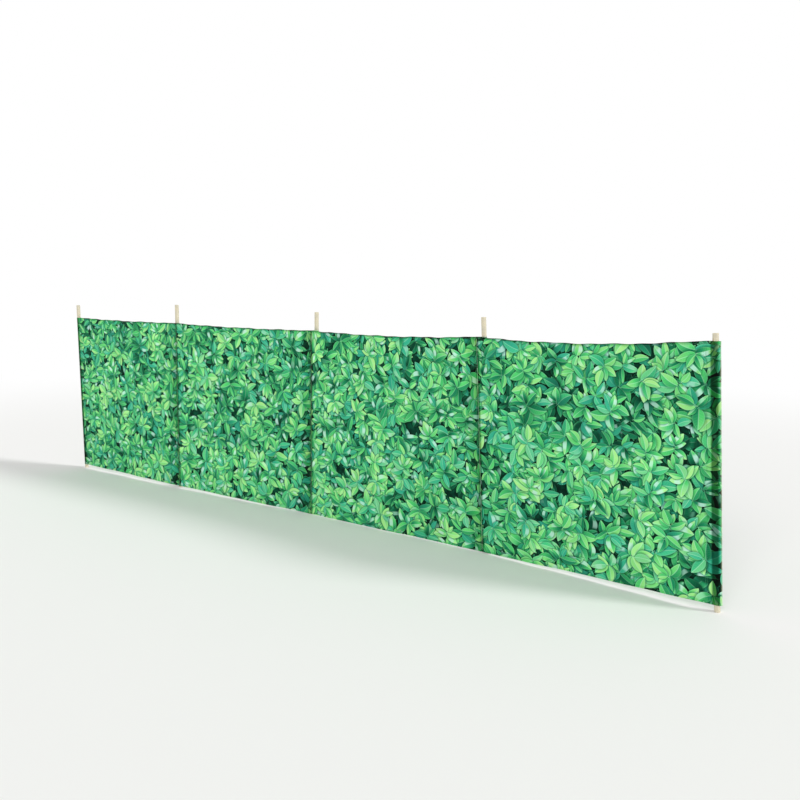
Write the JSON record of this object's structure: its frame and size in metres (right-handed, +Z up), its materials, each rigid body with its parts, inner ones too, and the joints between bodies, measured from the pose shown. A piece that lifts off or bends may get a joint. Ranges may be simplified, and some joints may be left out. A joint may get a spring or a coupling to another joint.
{
  "type": "beach windbreak",
  "caption": "Long strip of leaf-printed cloth standing on round wooden poles in sewn pockets, set up as a low screen in flat bays.",
  "frame": {"origin": "centre of pole 3's foot at ground level, the middle pole of the row", "axes": "+X along the row, to the right as seen from the printed front; +Y to the back; +Z up"},
  "size_m": [4.9609, 0.1458, 1.348],
  "materials": {
    "pole_wood": "bare sanded softwood",
    "printed_cloth": "matt plain-weave cloth, leaf print in greens, single layer that lets light through",
    "doubled_cloth": "the same printed cloth in two or more layers, so darker against the light"
  },
  "bodies": {
    "root": {"bottom_hem_1": "doubled_cloth", "bottom_hem_2": "doubled_cloth", "bottom_hem_3": "doubled_cloth", "bottom_hem_4": "doubled_cloth", "panel_1": "printed_cloth", "panel_2": "printed_cloth", "panel_3": "printed_cloth", "panel_4": "printed_cloth", "pocket_1": "doubled_cloth", "pocket_2": "doubled_cloth", "pocket_3": "doubled_cloth", "pocket_4": "doubled_cloth", "pocket_5": "doubled_cloth", "pole_1": "pole_wood", "pole_2": "pole_wood", "pole_3": "pole_wood", "pole_4": "pole_wood", "pole_5": "pole_wood", "top_hem_1": "doubled_cloth", "top_hem_2": "doubled_cloth", "top_hem_3": "doubled_cloth", "top_hem_4": "doubled_cloth"}
  },
  "joints": []
}
